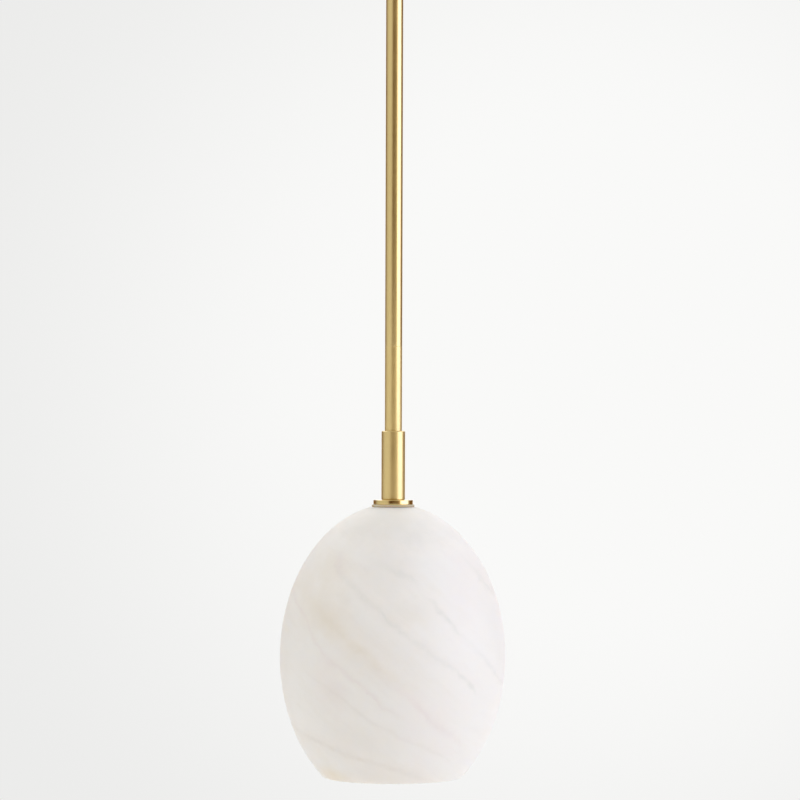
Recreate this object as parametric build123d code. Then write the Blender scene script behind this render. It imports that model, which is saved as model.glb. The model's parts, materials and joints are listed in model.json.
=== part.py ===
from build123d import *
from math import asin, cos, degrees, radians, sin, sqrt, tan
import os

# Pendant lamp: an egg of alabaster, open below, on a two-piece brass stem.
# Millimetres, +Z up. The origin is where the stem's axis meets the ceiling, so the
# whole lamp hangs below z = 0. Screw threads are plain cylinders.

# Clearances
thread_gap = 0.02       # radial, between pieces that screw together
slip_gap = 0.05         # radial, between pieces that slide together and stay
running_gap = 0.08      # radial, between a shaft and the hole it turns in
bolt_gap = 0.4          # radial, around a screw or nipple that only passes through
ball_gap = 0.3          # all round the ball in its socket
rest_gap = 0.3          # between a loose piece and what it lies on
end_gap = 0.2           # between the end of a pin and the piece beyond it

# Pipe thread shared by the stud, the ball's boss and every nipple
pipe_radius = 5.0
nipple_bore_radius = 3.5

# Ceiling cross, stamped from steel
box_screw_spacing = 79.4        # midway between the standard 69.9 and 88.9
box_slot_length = 14.4          # end to end, so that both standards fit
box_slot_width = 4.8
box_arm_edge = 4.0              # metal beyond the end of a slot
canopy_arm_edge = 6.0           # metal beyond the axis of a canopy stud
cross_width = 16.0
cross_thickness = 1.6
cross_hub_radius = 17.0
cross_hole_radius = 10.0        # the supply wires come through here

# Ground screw and its ring terminal
ground_screw_radius = 2.4
ground_screw_offset = 24.0      # from the lamp's axis
ground_head_radius = 4.6
ground_head_height = 2.6
ground_ring_radius = 4.5
ring_thickness = 0.8
barrel_wall = 0.6               # crimp barrels of both ring terminals
ground_barrel_length = 5.0

# Canopy, spun from brass sheet
canopy_radius = 63.5
canopy_depth = 23.0
canopy_wall = 1.2
canopy_edge_radius = 5.0
canopy_stud_radius = 2.1
canopy_stud_inset = 10.3        # from the inside of the canopy's wall to a stud's axis
canopy_nut_radius = 4.5
canopy_nut_height = 8.0
canopy_nut_depth = 5.5          # of its blind threaded hole
canopy_nut_round = 2.7
canopy_stud_short = 0.6         # space left above the bottom of that hole
cross_nut_flats = 8.7
cross_nut_height = 3.2

# Swivel
slip_washer_radius = 9.0
slip_washer_thickness = 1.0
stop_washer_radius = 8.5
stop_washer_thickness = 1.2
stud_flat_distance = 4.2        # from the axis to the flat that keys the stop washer
finger_reach = 15.0
finger_width = 3.0
stop_pin_radius = 1.5
stop_pin_circle = 13.0
stop_pin_proud = 1.0            # above the stop washer
spring_washer_radius = 8.2
spring_washer_thickness = 1.2
washer_split = 0.9
pipe_nut_flats = 14.0
swivel_nut_height = 5.0
stud_proud = 1.0                # of its nut
stud_bore_radius = 3.0
swivel_flange_radius = 16.0
swivel_flange_thickness = 2.0
swivel_roof = 4.0               # metal above the ball's socket
housing_wall = 1.9              # from the socket to the housing's outside thread
cup_wall = 2.4                  # from that thread to the outside of the cup
cup_engagement = 6.0            # length of thread between cup and housing
cup_split = 3.0                 # height of the housing's end above the ball's centre
cup_edge_radius = 2.5
ball_radius = 10.0
neck_radius = 4.0
neck_bore_radius = 2.5
boss_length = 12.0              # of the ball's threaded boss in the upper rod
tilt_limit = 30.0               # degrees each way
mouth_margin = 2.0              # degrees between the neck and the cup's mouth at the limit
lip_land = 0.5                  # thickness of the cup's lip at its mouth
tilt_clearance = 1.2            # between the tilted rod's corner and the lip
lead_flare = 32.0               # degrees, half-angle of the ball's open top
trunnion_thread_radius = 2.0
trunnion_dog_radius = 1.6
trunnion_depth = 4.2            # how far the dog point reaches into the ball
trunnion_socket_flats = 2.0
trunnion_socket_depth = 1.5

# Stem
rod_radius = 6.35               # half-inch tube
rod_bore_radius = pipe_radius
rod_edge = 0.5
rod_seam_edge = 0.12
upper_rod_length = 304.8        # twelve inches
lower_rod_length = 76.2         # three inches
joint_nipple_length = 24.0
lower_nipple_length = 26.0
sleeve_radius = 8.75
sleeve_length = 50.8            # two inches
sleeve_socket_depth = 14.1      # how far the lower rod sits in the sleeve
sleeve_chamfer = 0.6
main_nipple_engagement = 14.0   # length of the main nipple in the sleeve
flange_radius = 14.7
flange_thickness = 3.4
flange_edge = 0.3
outer_gasket_radius = 15.8
outer_gasket_thickness = 1.8

# Alabaster shade: an ellipsoid of revolution, cut flat above and below
shade_radius = 83.0
shade_height = 198.9
shade_flat_margin = 0.2         # flat stone beyond the edge of the gasket
shade_rim_radius = 50.6         # where the lower cut meets the outside
shade_wall = 8.0
shade_top_thickness = 12.0
shade_rim_outer_round = 3.0
shade_rim_inner_round = 2.0

# Under the stone's top
inner_gasket_radius = 17.0
inner_gasket_thickness = 2.0
inner_washer_radius = 16.0
inner_washer_thickness = 2.0
lock_washer_radius = 8.6
lock_washer_thickness = 1.6
lock_nut_height = 5.0
bracket_thickness = 1.5
bracket_width = 12.0
bracket_bend = 1.0              # inside radius
bracket_leg_end = 6.0           # below the holder screws
earth_ring_radius = 7.6
earth_barrel_offset = 10.4      # from the lamp's axis
earth_barrel_length = 4.6
bracket_nut_height = 3.0
nipple_proud = 1.4              # of its last nut

# Lampholder, porcelain
holder_drop = 9.0               # from the nipple's end to the holder's top
holder_length = 23.0            # across the bracket's legs
holder_width = 17.0
holder_height = 24.0
holder_corner = 3.5
holder_recess_depth = 6.0
holder_screw_radius = 1.5
holder_screw_depth = 4.0
holder_screw_drop = 10.0        # below the holder's top
holder_head_radius = 2.8
holder_head_height = 1.6
driver_slot_width = 0.8
driver_slot_depth = 0.8

# Lamp: two looped pins, a tongue, a round base and a frosted cover
pin_spacing = 9.0
pin_wire_radius = 0.42
pin_loop_width = 1.4            # between the two wires of a loop
pin_length = 5.5
pin_root = 2.0                  # of each wire in the tongue
contact_leaf = 0.4
contact_width = 2.8
contact_height = 9.8
contact_slot_length = 3.0
tongue_length = 13.0
tongue_width = 4.0
tongue_below_holder = 2.0       # the part of the tongue that shows
lamp_radius = 8.0
lamp_base_height = 10.0
lamp_spigot_height = 4.0
lamp_cover_wall = 1.0
lamp_cover_length = 36.0
board_width = 8.0
board_thickness = 1.0
board_length = 25.0
board_root = 2.0
chip_size = 2.4
chip_height = 0.6
chip_count = 5
chip_pitch = 4.2
chip_margin = 3.5               # from the board's lower end to the first chip's middle

# Leads
lead_radius = 0.8
lead_circle = 0.95              # the three leads lie round the axis at this radius
lead_split = 1.2                # each way from the ball's centre, where the leads part
line_angle = -30.0
neutral_angle = 210.0
ground_angle = 90.0
lead_rise = 4.6                 # above the stud's end, where a lead turns down into it
lead_shoulder = 9.0             # from the axis, where a lead starts down to its connector
arc_share = 0.45                # of the shorter run that a bend may use
connector_mouth = 24.0          # from the axis
connector_length = 20.0
connector_radius = 4.5
connector_tip_radius = 2.6
connector_mouth_radius = 2.4
connector_mouth_depth = 5.0
connector_grip_depth = 9.0
lead_straight = 4.0             # outside the connector, before the first bend
holder_lead_spread = 5.0        # height in which the leads spread to the contacts
earth_lead_drop = 4.5           # below the nipple, where the ground lead turns back

# The shade's ellipse, from its height and the radii of its two cuts
crown_share = sqrt(1 - ((outer_gasket_radius + shade_flat_margin) / shade_radius) ** 2)
skirt_share = sqrt(1 - (shade_rim_radius / shade_radius) ** 2)
shade_half_height = shade_height / (crown_share + skirt_share)
shade_crown = shade_half_height * crown_share       # from the ellipse's centre up to the flat top
shade_skirt = shade_half_height * skirt_share       # from the ellipse's centre down to the rim

# Levels, from the ceiling down
canopy_face = -canopy_depth
canopy_floor = canopy_face + canopy_wall
slip_top = canopy_floor + slip_washer_thickness
stop_top = slip_top + stop_washer_thickness
spring_top = stop_top + spring_washer_thickness
swivel_nut_top = spring_top + swivel_nut_height
stud_top = swivel_nut_top + stud_proud
socket_radius = ball_radius + ball_gap
ball_z = canopy_face - swivel_roof - socket_radius
mouth_angle = tilt_limit + degrees(asin(neck_radius / socket_radius)) + mouth_margin
cup_bottom = ball_z - socket_radius * cos(radians(mouth_angle)) - lip_land
rod_drop = (ball_z - cup_bottom + tilt_clearance + rod_radius * sin(radians(tilt_limit))) / cos(
    radians(tilt_limit)
)
upper_rod_top = ball_z - rod_drop
rod_seam = upper_rod_top - upper_rod_length
lower_rod_end = rod_seam - lower_rod_length
sleeve_top = lower_rod_end + sleeve_socket_depth
sleeve_end = sleeve_top - sleeve_length
flange_end = sleeve_end - flange_thickness
shade_top = flange_end - outer_gasket_thickness
shade_centre = shade_top - shade_crown
shade_rim = shade_centre - shade_skirt
shade_seat = shade_top - shade_top_thickness
inner_gasket_end = shade_seat - inner_gasket_thickness
inner_washer_end = inner_gasket_end - inner_washer_thickness
lock_washer_end = inner_washer_end - lock_washer_thickness
lock_nut_end = lock_washer_end - lock_nut_height
bracket_under = lock_nut_end - bracket_thickness
earth_ring_end = bracket_under - ring_thickness
bracket_nut_end = earth_ring_end - bracket_nut_height
nipple_end = bracket_nut_end - nipple_proud
holder_top = nipple_end - holder_drop
holder_bottom = holder_top - holder_height
holder_screw_z = holder_top - holder_screw_drop
recess_top = holder_bottom + holder_recess_depth
tongue_top = recess_top - rest_gap
tongue_bottom = holder_bottom - tongue_below_holder
spigot_top = tongue_bottom - lamp_base_height
spigot_bottom = spigot_top - lamp_spigot_height
contact_bottom = recess_top + end_gap
contact_top = contact_bottom + contact_height

# Shared radii and distances
nipple_radius = pipe_radius - thread_gap
clear_hole_radius = pipe_radius + bolt_gap
canopy_inside_radius = canopy_radius - canopy_wall
stud_offset = canopy_inside_radius - canopy_stud_inset
housing_radius = socket_radius + housing_wall
cup_radius = housing_radius + cup_wall
bracket_inside = holder_length / 2
bracket_outside = bracket_inside + bracket_thickness
ground_lead_z = -cross_thickness - lead_radius - barrel_wall
ground_barrel_start = ground_head_radius + slip_gap     # from the ground screw's axis
lead_level = stud_top + lead_rise
connector_z = canopy_floor + connector_radius + rest_gap


def bar(radius, top, bottom):
    """Round bar on the lamp's axis, between two heights."""
    on_base = (Align.CENTER, Align.CENTER, Align.MIN)
    return Pos(0, 0, bottom) * Cylinder(radius, top - bottom, align=on_base)


def ring(outer, bore, top, bottom):
    """Tube or washer on the lamp's axis, between two heights."""
    return bar(outer, top, bottom) - bar(bore, top, bottom)


def block(length, width, top, bottom):
    """Square bar on the lamp's axis, between two heights."""
    on_base = (Align.CENTER, Align.CENTER, Align.MIN)
    return Pos(0, 0, bottom) * Box(length, width, top - bottom, align=on_base)


def cross_bar(radius, inner, outer, z):
    """Round bar along +X, between two distances from the axis."""
    on_end = (Align.CENTER, Align.CENTER, Align.MIN)
    return Pos(inner, 0, z) * Rot(0, 90, 0) * Cylinder(radius, outer - inner, align=on_end)


def both_sides(solid):
    """A solid and its twin, half a turn round the lamp's axis."""
    return [solid, Rot(0, 0, 180) * solid]


def hex_nut(flats, bore, top, bottom):
    """Six-sided nut with the corners turned off at both ends."""
    height = top - bottom
    blank = Pos(0, 0, bottom) * extrude(RegularPolygon(flats / 2, 6, major_radius=False), height)
    corner = flats / 2 / cos(radians(30))
    turned = chamfer(bar(corner, top, bottom).edges().filter_by(GeomType.CIRCLE), corner - flats / 2)
    return blank & turned - bar(bore, top, bottom)


def split_washer(outer, bore, top, bottom):
    """Lock washer: a ring cut through at one place."""
    cut = Pos((outer + bore) / 2, 0, 0) * block(outer, washer_split, top, bottom)
    return ring(outer, bore, top, bottom) - cut


def bend_radii(points):
    """The largest tangent arcs that the runs on both sides of each corner allow."""
    corners = [Vector(*point) for point in points]
    radii = []
    for before, corner, after in zip(corners, corners[1:], corners[2:]):
        arriving = corner - before
        leaving = after - corner
        half_turn = radians(arriving.get_angle(leaving)) / 2
        radii.append(arc_share * min(arriving.length, leaving.length) / tan(half_turn))
    return radii


def lead(points):
    """One insulated wire: straight runs joined by tangent arcs."""
    path = FilletPolyline(*points, radius=bend_radii(points))
    return sweep(Plane(origin=path @ 0, z_dir=path % 0) * Circle(lead_radius), path=path)


def around(angle, distance, z):
    """Point at an angle round the axis, a distance out from it."""
    return (distance * cos(radians(angle)), distance * sin(radians(angle)), z)


def make_ceiling_cross():
    """Flat steel cross: slotted arms for the box, tapped arms for the canopy."""
    box_arm = box_screw_spacing / 2 + box_slot_length / 2 + box_arm_edge
    canopy_arm = stud_offset + canopy_arm_edge
    plan = SlotOverall(2 * box_arm, cross_width) + SlotOverall(2 * canopy_arm, cross_width, rotation=90)
    plan += Circle(cross_hub_radius)
    plan -= Circle(cross_hole_radius)
    for side in (-1, 1):
        plan -= Pos(side * box_screw_spacing / 2, 0) * SlotOverall(box_slot_length, box_slot_width)
        plan -= Pos(0, side * stud_offset) * Circle(canopy_stud_radius)
    plan -= Pos(0, ground_screw_offset) * Circle(ground_screw_radius)
    return extrude(plan, -cross_thickness)


def make_ground_screw():
    """Screw with a washer head, from below, flush with the cross's upper face."""
    head_top = -cross_thickness - ring_thickness
    head_end = head_top - ground_head_height
    head = bar(ground_head_radius, head_top, head_end)
    head -= block(2 * ground_head_radius, driver_slot_width, head_end + driver_slot_depth, head_end)
    shank = bar(ground_screw_radius - thread_gap, 0, head_top)
    return Pos(0, ground_screw_offset, 0) * (head + shank)


def make_ground_ring():
    """Ring terminal under the ground screw, with its crimp barrel towards the axis."""
    top = -cross_thickness
    eye = ring(ground_ring_radius, ground_screw_radius + slip_gap, top, top - ring_thickness)
    barrel_end = ground_barrel_start + ground_barrel_length
    barrel = cross_bar(lead_radius + barrel_wall, ground_ring_radius - barrel_wall, barrel_end, ground_lead_z)
    barrel -= cross_bar(lead_radius + thread_gap, ground_barrel_start, barrel_end, ground_lead_z)
    barrel -= bar(ground_barrel_start, top - ring_thickness, top - ring_thickness - ground_head_height)
    return Pos(0, ground_screw_offset, 0) * (eye + Rot(0, 0, -90) * barrel)


def make_canopy_studs():
    """Two headless studs, from the cross's upper face down through the canopy."""
    end = canopy_face - canopy_nut_depth + canopy_stud_short
    stud = Pos(0, stud_offset, 0) * bar(canopy_stud_radius - thread_gap, 0, end)
    return both_sides(stud)


def make_cross_nuts():
    """Nuts that lock the studs under the cross."""
    nut = hex_nut(cross_nut_flats, canopy_stud_radius, -cross_thickness, -cross_thickness - cross_nut_height)
    return both_sides(Pos(0, stud_offset, 0) * nut)


def make_canopy_nuts():
    """Round nuts with domed ends, which hold the canopy up from below."""
    end = canopy_face - canopy_nut_height
    nut = bar(canopy_nut_radius, canopy_face, end)
    nut = fillet(nut.edges().group_by(Axis.Z)[0], canopy_nut_round)
    nut -= bar(canopy_stud_radius, canopy_face, canopy_face - canopy_nut_depth)
    return both_sides(Pos(0, stud_offset, 0) * nut)


def pan(radius, depth, edge_radius):
    """Round bar hanging from the ceiling, rounded at its lower edge."""
    solid = bar(radius, 0, -depth)
    return fillet(solid.edges().group_by(Axis.Z)[0], edge_radius)


def make_canopy():
    """Shallow brass pan with holes for the swivel stud, the canopy studs and the stop pin."""
    inside = pan(canopy_inside_radius, canopy_depth - canopy_wall, canopy_edge_radius - canopy_wall)
    shell = pan(canopy_radius, canopy_depth, canopy_edge_radius) - inside
    shell -= bar(pipe_radius + running_gap, canopy_floor, canopy_face)
    shell -= Pos(-stop_pin_circle, 0, 0) * bar(stop_pin_radius, canopy_floor, canopy_face)
    stud_hole = bar(canopy_stud_radius + slip_gap, canopy_floor, canopy_face)
    for side in (-1, 1):
        shell -= Pos(0, side * stud_offset, 0) * stud_hole
    return shell


def make_stop_pin():
    """Pin riveted in the canopy's floor, in the way of the stop washer's finger."""
    pin = bar(stop_pin_radius - thread_gap, stop_top + stop_pin_proud, canopy_face + end_gap)
    return Pos(-stop_pin_circle, 0, 0) * pin


def make_slip_washer():
    """Washer on the canopy's floor, on which the stop washer slides."""
    return ring(slip_washer_radius, pipe_radius + running_gap, slip_top, canopy_floor)


def make_swivel_housing():
    """Hollow threaded stud, thrust flange and the upper half of the ball's socket."""
    housing = bar(pipe_radius, stud_top, canopy_face)
    housing += bar(swivel_flange_radius, canopy_face, canopy_face - swivel_flange_thickness)
    housing += bar(housing_radius - thread_gap, canopy_face, ball_z + cup_split)
    housing -= bar(stud_bore_radius, stud_top, ball_z)
    housing -= Pos(0, 0, ball_z) * Sphere(socket_radius)
    beyond_flat = Pos(stud_flat_distance + pipe_radius / 2, 0, 0)
    return housing - beyond_flat * block(pipe_radius, 2 * pipe_radius, stud_top, slip_top)


def make_stop_washer():
    """Washer with a D-shaped hole for the stud and one finger for the stop pin."""
    plan = Circle(stop_washer_radius) + Pos(finger_reach / 2, 0) * Rectangle(finger_reach, finger_width)
    hole = Circle(pipe_radius + slip_gap)
    hole &= Pos(stud_flat_distance + slip_gap - pipe_radius, 0) * Rectangle(2 * pipe_radius, 4 * pipe_radius)
    return Pos(0, 0, slip_top) * extrude(plan - hole, stop_washer_thickness)


def make_swivel_cup():
    """Cup screwed over the housing, with the lower half of the socket and a flared mouth."""
    top = ball_z + cup_split + cup_engagement
    cup = bar(cup_radius, top, cup_bottom)
    cup = fillet(cup.edges().group_by(Axis.Z)[0], cup_edge_radius)
    cup -= bar(housing_radius, top, ball_z + cup_split)
    cup -= bar(socket_radius, ball_z + cup_split, ball_z)
    cup -= Pos(0, 0, ball_z) * Sphere(socket_radius)
    depth = ball_z - cup_bottom
    flare = Pos(0, 0, cup_bottom) * Cone(
        depth * tan(radians(mouth_angle)), 0, depth, align=(Align.CENTER, Align.CENTER, Align.MIN)
    )
    cup -= flare
    hole = cross_bar(trunnion_thread_radius, 0, 2 * cup_radius, ball_z)
    return cup - both_sides(hole)


def make_trunnion_screws():
    """Set screws in the cup's wall whose dog points are the ball's pivots."""
    point = ball_radius - trunnion_depth
    head = cup_radius - rest_gap
    screw = cross_bar(trunnion_thread_radius - thread_gap, socket_radius, head, ball_z)
    screw += cross_bar(trunnion_dog_radius, point, socket_radius, ball_z)
    key = extrude(RegularPolygon(trunnion_socket_flats / 2, 6, major_radius=False), trunnion_socket_depth)
    screw -= Pos(head - trunnion_socket_depth, 0, ball_z) * Rot(0, 90, 0) * key
    return both_sides(screw)


def make_swivel_ball():
    """Ball, neck and threaded boss in one, bored through for the leads."""
    ball = Pos(0, 0, ball_z) * Sphere(ball_radius)
    ball += bar(neck_radius, ball_z, upper_rod_top)
    ball += bar(nipple_radius, upper_rod_top, upper_rod_top - boss_length)
    ball -= bar(neck_bore_radius, ball_z + ball_radius, upper_rod_top - boss_length)
    flare_end = neck_bore_radius + ball_radius * tan(radians(lead_flare))
    ball -= Pos(0, 0, ball_z) * Cone(
        neck_bore_radius, flare_end, ball_radius, align=(Align.CENTER, Align.CENTER, Align.MIN)
    )
    seat = cross_bar(
        trunnion_dog_radius + slip_gap, ball_radius - trunnion_depth - end_gap, 2 * ball_radius, ball_z
    )
    return ball - both_sides(seat)


def make_rod(top, bottom):
    """Brass tube, its outer edges just broken."""
    rod = bar(rod_radius, top, bottom)
    rod = chamfer(rod.edges().filter_by(GeomType.CIRCLE), rod_seam_edge)
    return rod - bar(rod_bore_radius, top, bottom)


def make_upper_rod():
    """Upper tube, rounded where it shows under the swivel."""
    rod = bar(rod_radius, upper_rod_top, rod_seam)
    rod = fillet(rod.edges().group_by(Axis.Z)[-1], rod_edge)
    rod = chamfer(rod.edges().group_by(Axis.Z)[0], rod_seam_edge)
    return rod - bar(rod_bore_radius, upper_rod_top, rod_seam)


def make_nipple(top, bottom):
    """Length of hollow threaded tube."""
    return ring(nipple_radius, nipple_bore_radius, top, bottom)


def make_neck_sleeve():
    """Turned sleeve: a socket for the lower rod, threaded below it."""
    sleeve = bar(sleeve_radius, sleeve_top, sleeve_end)
    sleeve = chamfer(sleeve.edges().filter_by(GeomType.CIRCLE), sleeve_chamfer)
    sleeve -= bar(rod_radius + slip_gap, sleeve_top, lower_rod_end)
    return sleeve - bar(pipe_radius, lower_rod_end, sleeve_end)


def make_top_flange():
    """Brass disc that the sleeve presses on the gasket."""
    disc = bar(flange_radius, sleeve_end, flange_end)
    disc = fillet(disc.edges().filter_by(GeomType.CIRCLE), flange_edge)
    return disc - bar(pipe_radius + slip_gap, sleeve_end, flange_end)


def ellipse_arc(radius, half_height, low, high):
    """Stretch of an ellipse's right side, between two heights from its centre."""
    start = degrees(asin(low / half_height))
    end = degrees(asin(high / half_height))
    return EllipticalCenterArc((0, 0), radius, half_height, start, arc_size=end - start)


def make_alabaster_shade():
    """Egg of stone turned hollow: flat seat above, open rim below."""
    seat_height = shade_crown - shade_top_thickness
    outside = ellipse_arc(shade_radius, shade_half_height, -shade_skirt, shade_crown)
    inside = ellipse_arc(shade_radius - shade_wall, shade_half_height - shade_wall, -shade_skirt, seat_height)
    section = [
        outside,
        Line(outside @ 1, (clear_hole_radius, shade_crown)),
        Line((clear_hole_radius, shade_crown), (clear_hole_radius, seat_height)),
        Line((clear_hole_radius, seat_height), inside @ 1),
        inside,
        Line(inside @ 0, outside @ 0),
    ]
    stone = revolve(Plane.XZ * make_face(section), Axis.Z)
    stone = Pos(0, 0, shade_centre) * stone
    rim = stone.edges().filter_by(GeomType.CIRCLE).group_by(Axis.Z)[0].sort_by(SortBy.RADIUS)
    stone = fillet(rim[-1], shade_rim_outer_round)
    rim = stone.edges().filter_by(GeomType.CIRCLE).group_by(Axis.Z)[0].sort_by(SortBy.RADIUS)
    return fillet(rim[0], shade_rim_inner_round)


def make_holder_bracket():
    """Steel strip bent to a U, hung on the nipple, with a leg on each side of the holder."""
    leg_end = holder_screw_z - bracket_leg_end
    outside = block(2 * bracket_outside, bracket_width, lock_nut_end, leg_end)
    outside = fillet(
        outside.edges().filter_by(Axis.Y).group_by(Axis.Z)[-1], bracket_bend + bracket_thickness
    )
    inside = block(2 * bracket_inside, bracket_width, bracket_under, leg_end)
    inside = fillet(inside.edges().filter_by(Axis.Y).group_by(Axis.Z)[-1], bracket_bend)
    strip = outside - inside - bar(pipe_radius + slip_gap, lock_nut_end, bracket_under)
    hole = cross_bar(holder_screw_radius + slip_gap, bracket_inside, bracket_outside, holder_screw_z)
    return strip - both_sides(hole)


def make_earth_ring():
    """Ring terminal round the nipple, its crimp barrel hanging clear of the nut."""
    eye = ring(earth_ring_radius, pipe_radius + slip_gap, bracket_under, earth_ring_end)
    tab_width = 2 * (lead_radius + barrel_wall)
    tab_length = earth_barrel_offset - pipe_radius - slip_gap
    tab = Pos(0, earth_barrel_offset - tab_length / 2, 0) * block(
        tab_width, tab_length, bracket_under, earth_ring_end
    )
    tab -= bar(pipe_radius + slip_gap, bracket_under, earth_ring_end)
    barrel = bar(lead_radius + barrel_wall, bracket_under, bracket_under - earth_barrel_length)
    hole = bar(lead_radius + thread_gap, earth_ring_end, bracket_under - earth_barrel_length)
    return eye + tab + Pos(0, earth_barrel_offset, 0) * barrel - Pos(0, earth_barrel_offset, 0) * hole


def make_lampholder():
    """Porcelain block with a recess for the lamp's tongue and a slot for each contact."""
    plan = RectangleRounded(holder_length, holder_width, holder_corner)
    holder = Pos(0, 0, holder_bottom) * extrude(plan, holder_height)
    holder -= block(
        tongue_length + 2 * rest_gap, tongue_width + 2 * rest_gap, recess_top, holder_bottom
    )
    slot_width = 2 * (pin_wire_radius + running_gap + contact_leaf + slip_gap)
    slot = Pos(pin_spacing / 2, 0, 0) * block(contact_slot_length, slot_width, holder_top, recess_top)
    hole = cross_bar(
        holder_screw_radius + thread_gap,
        bracket_inside - holder_screw_depth - end_gap,
        bracket_inside,
        holder_screw_z,
    )
    return holder - both_sides(slot) - both_sides(hole)


def make_holder_screws():
    """Screws with slotted heads, through the bracket's legs into the porcelain."""
    screw = cross_bar(
        holder_screw_radius, bracket_inside - holder_screw_depth, bracket_outside, holder_screw_z
    )
    head_end = bracket_outside + holder_head_height
    screw += cross_bar(holder_head_radius, bracket_outside, head_end, holder_screw_z)
    slot = Pos(head_end, 0, holder_screw_z) * Box(
        2 * driver_slot_depth, 2 * holder_head_radius, driver_slot_width
    )
    return both_sides(screw - slot)


def make_lamp_contacts():
    """Brass strips folded over each lamp pin, leaf on both sides."""
    inside = 2 * (pin_wire_radius + running_gap)
    clip = block(contact_width, inside + 2 * contact_leaf, contact_top, contact_bottom)
    clip -= block(contact_width, inside, contact_top - contact_leaf, contact_bottom)
    return both_sides(Pos(pin_spacing / 2, 0, 0) * clip)


def pin_path():
    """Middle line of one looped pin: up, over and down again."""
    low = tongue_top - pin_root
    high = tongue_top + pin_length - pin_wire_radius - pin_loop_width / 2
    left = pin_spacing / 2 - pin_loop_width / 2
    right = pin_spacing / 2 + pin_loop_width / 2
    up = Line((left, 0, low), (left, 0, high))
    crown = (pin_spacing / 2, 0, high + pin_loop_width / 2)
    over = ThreePointArc((left, 0, high), crown, (right, 0, high))
    down = Line((right, 0, high), (right, 0, low))
    return Wire([up, over, down])


def make_lamp_pins():
    """Two loops of round wire."""
    path = pin_path()
    pin = sweep(Plane(origin=path @ 0, z_dir=(0, 0, 1)) * Circle(pin_wire_radius), path=path)
    return both_sides(pin)


def make_lamp_base():
    """Ceramic base: tongue for the holder, round body and spigot for the cover."""
    base = block(tongue_length, tongue_width, tongue_top, tongue_bottom)
    base += bar(lamp_radius, tongue_bottom, spigot_top)
    base += bar(lamp_radius - lamp_cover_wall - slip_gap, spigot_top, spigot_bottom)
    slot_length = board_width + 2 * slip_gap
    slot_width = board_thickness + 2 * slip_gap
    base -= block(slot_length, slot_width, spigot_bottom + board_root, spigot_bottom)
    hole = bar(pin_wire_radius + thread_gap, tongue_top, tongue_top - pin_root)
    for side in (-1, 1):
        base -= both_sides(Pos(pin_spacing / 2 + side * pin_loop_width / 2, 0, 0) * hole)
    return base


def make_lamp_cover():
    """Frosted glass tube with a round end, open at the base."""
    dome_z = spigot_top - lamp_cover_length + lamp_radius
    inside_radius = lamp_radius - lamp_cover_wall
    outside = bar(lamp_radius, spigot_top, dome_z) + Pos(0, 0, dome_z) * Sphere(lamp_radius)
    inside = bar(inside_radius, spigot_top, dome_z) + Pos(0, 0, dome_z) * Sphere(inside_radius)
    return outside - inside


def make_led_board():
    """Upright board in the base's slot."""
    top = spigot_bottom + board_root
    return block(board_width, board_thickness, top, top - board_length)


def make_led_chips():
    """Rows of square chips on both faces of the board."""
    lowest = spigot_bottom + board_root - board_length + chip_margin
    chips = []
    for row in range(chip_count):
        middle = lowest + row * chip_pitch
        chip = block(chip_size, chip_height, middle + chip_size / 2, middle - chip_size / 2)
        chips += both_sides(Pos(0, (board_thickness + chip_height) / 2, 0) * chip)
    return chips


def make_wire_connectors():
    """Tapered twist-on connectors lying on the canopy's floor, mouths to the axis."""
    shell = Cone(connector_radius, connector_tip_radius, connector_length)
    shell = Pos(connector_mouth + connector_length / 2, 0, connector_z) * Rot(0, 90, 0) * shell
    mouth_end = connector_mouth + connector_mouth_depth
    shell -= cross_bar(connector_mouth_radius, connector_mouth, mouth_end, connector_z)
    grip_end = connector_mouth + connector_grip_depth
    shell -= cross_bar(lead_radius + thread_gap, mouth_end, grip_end, connector_z)
    return [Rot(0, 0, line_angle) * shell, Rot(0, 0, neutral_angle) * shell]


def make_canopy_leads():
    """Line and neutral from their connectors, ground from its ring, down into the stud."""
    lower_end = ball_z + lead_split
    grip_end = connector_mouth + connector_grip_depth
    leads = []
    for angle in (line_angle, neutral_angle):
        route = [
            around(angle, grip_end, connector_z),
            around(angle, connector_mouth - lead_straight, connector_z),
            around(angle, lead_shoulder, lead_level),
            around(angle, lead_circle, lead_level),
            around(angle, lead_circle, lower_end),
        ]
        leads.append(lead(route))
    ground_route = [
        around(ground_angle, ground_screw_offset - ground_barrel_start, ground_lead_z),
        around(ground_angle, lead_circle, ground_lead_z),
        around(ground_angle, lead_circle, lower_end),
    ]
    leads.append(lead(ground_route))
    return leads


def make_stem_leads():
    """Line and neutral down the stem to the contacts, ground back up to the earth ring."""
    upper_end = ball_z - lead_split
    turn = nipple_end - lead_radius
    leads = []
    for angle, side in ((line_angle, 1), (neutral_angle, -1)):
        route = [
            around(angle, lead_circle, upper_end),
            around(angle, lead_circle, turn),
            (side * pin_spacing / 2, 0, turn - holder_lead_spread),
            (side * pin_spacing / 2, 0, contact_top),
        ]
        leads.append(lead(route))
    earth_route = [
        around(ground_angle, lead_circle, upper_end),
        around(ground_angle, lead_circle, nipple_end - earth_lead_drop),
        around(ground_angle, earth_barrel_offset, nipple_end - earth_lead_drop),
        around(ground_angle, earth_barrel_offset, earth_ring_end),
    ]
    leads.append(lead(earth_route))
    return leads


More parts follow.
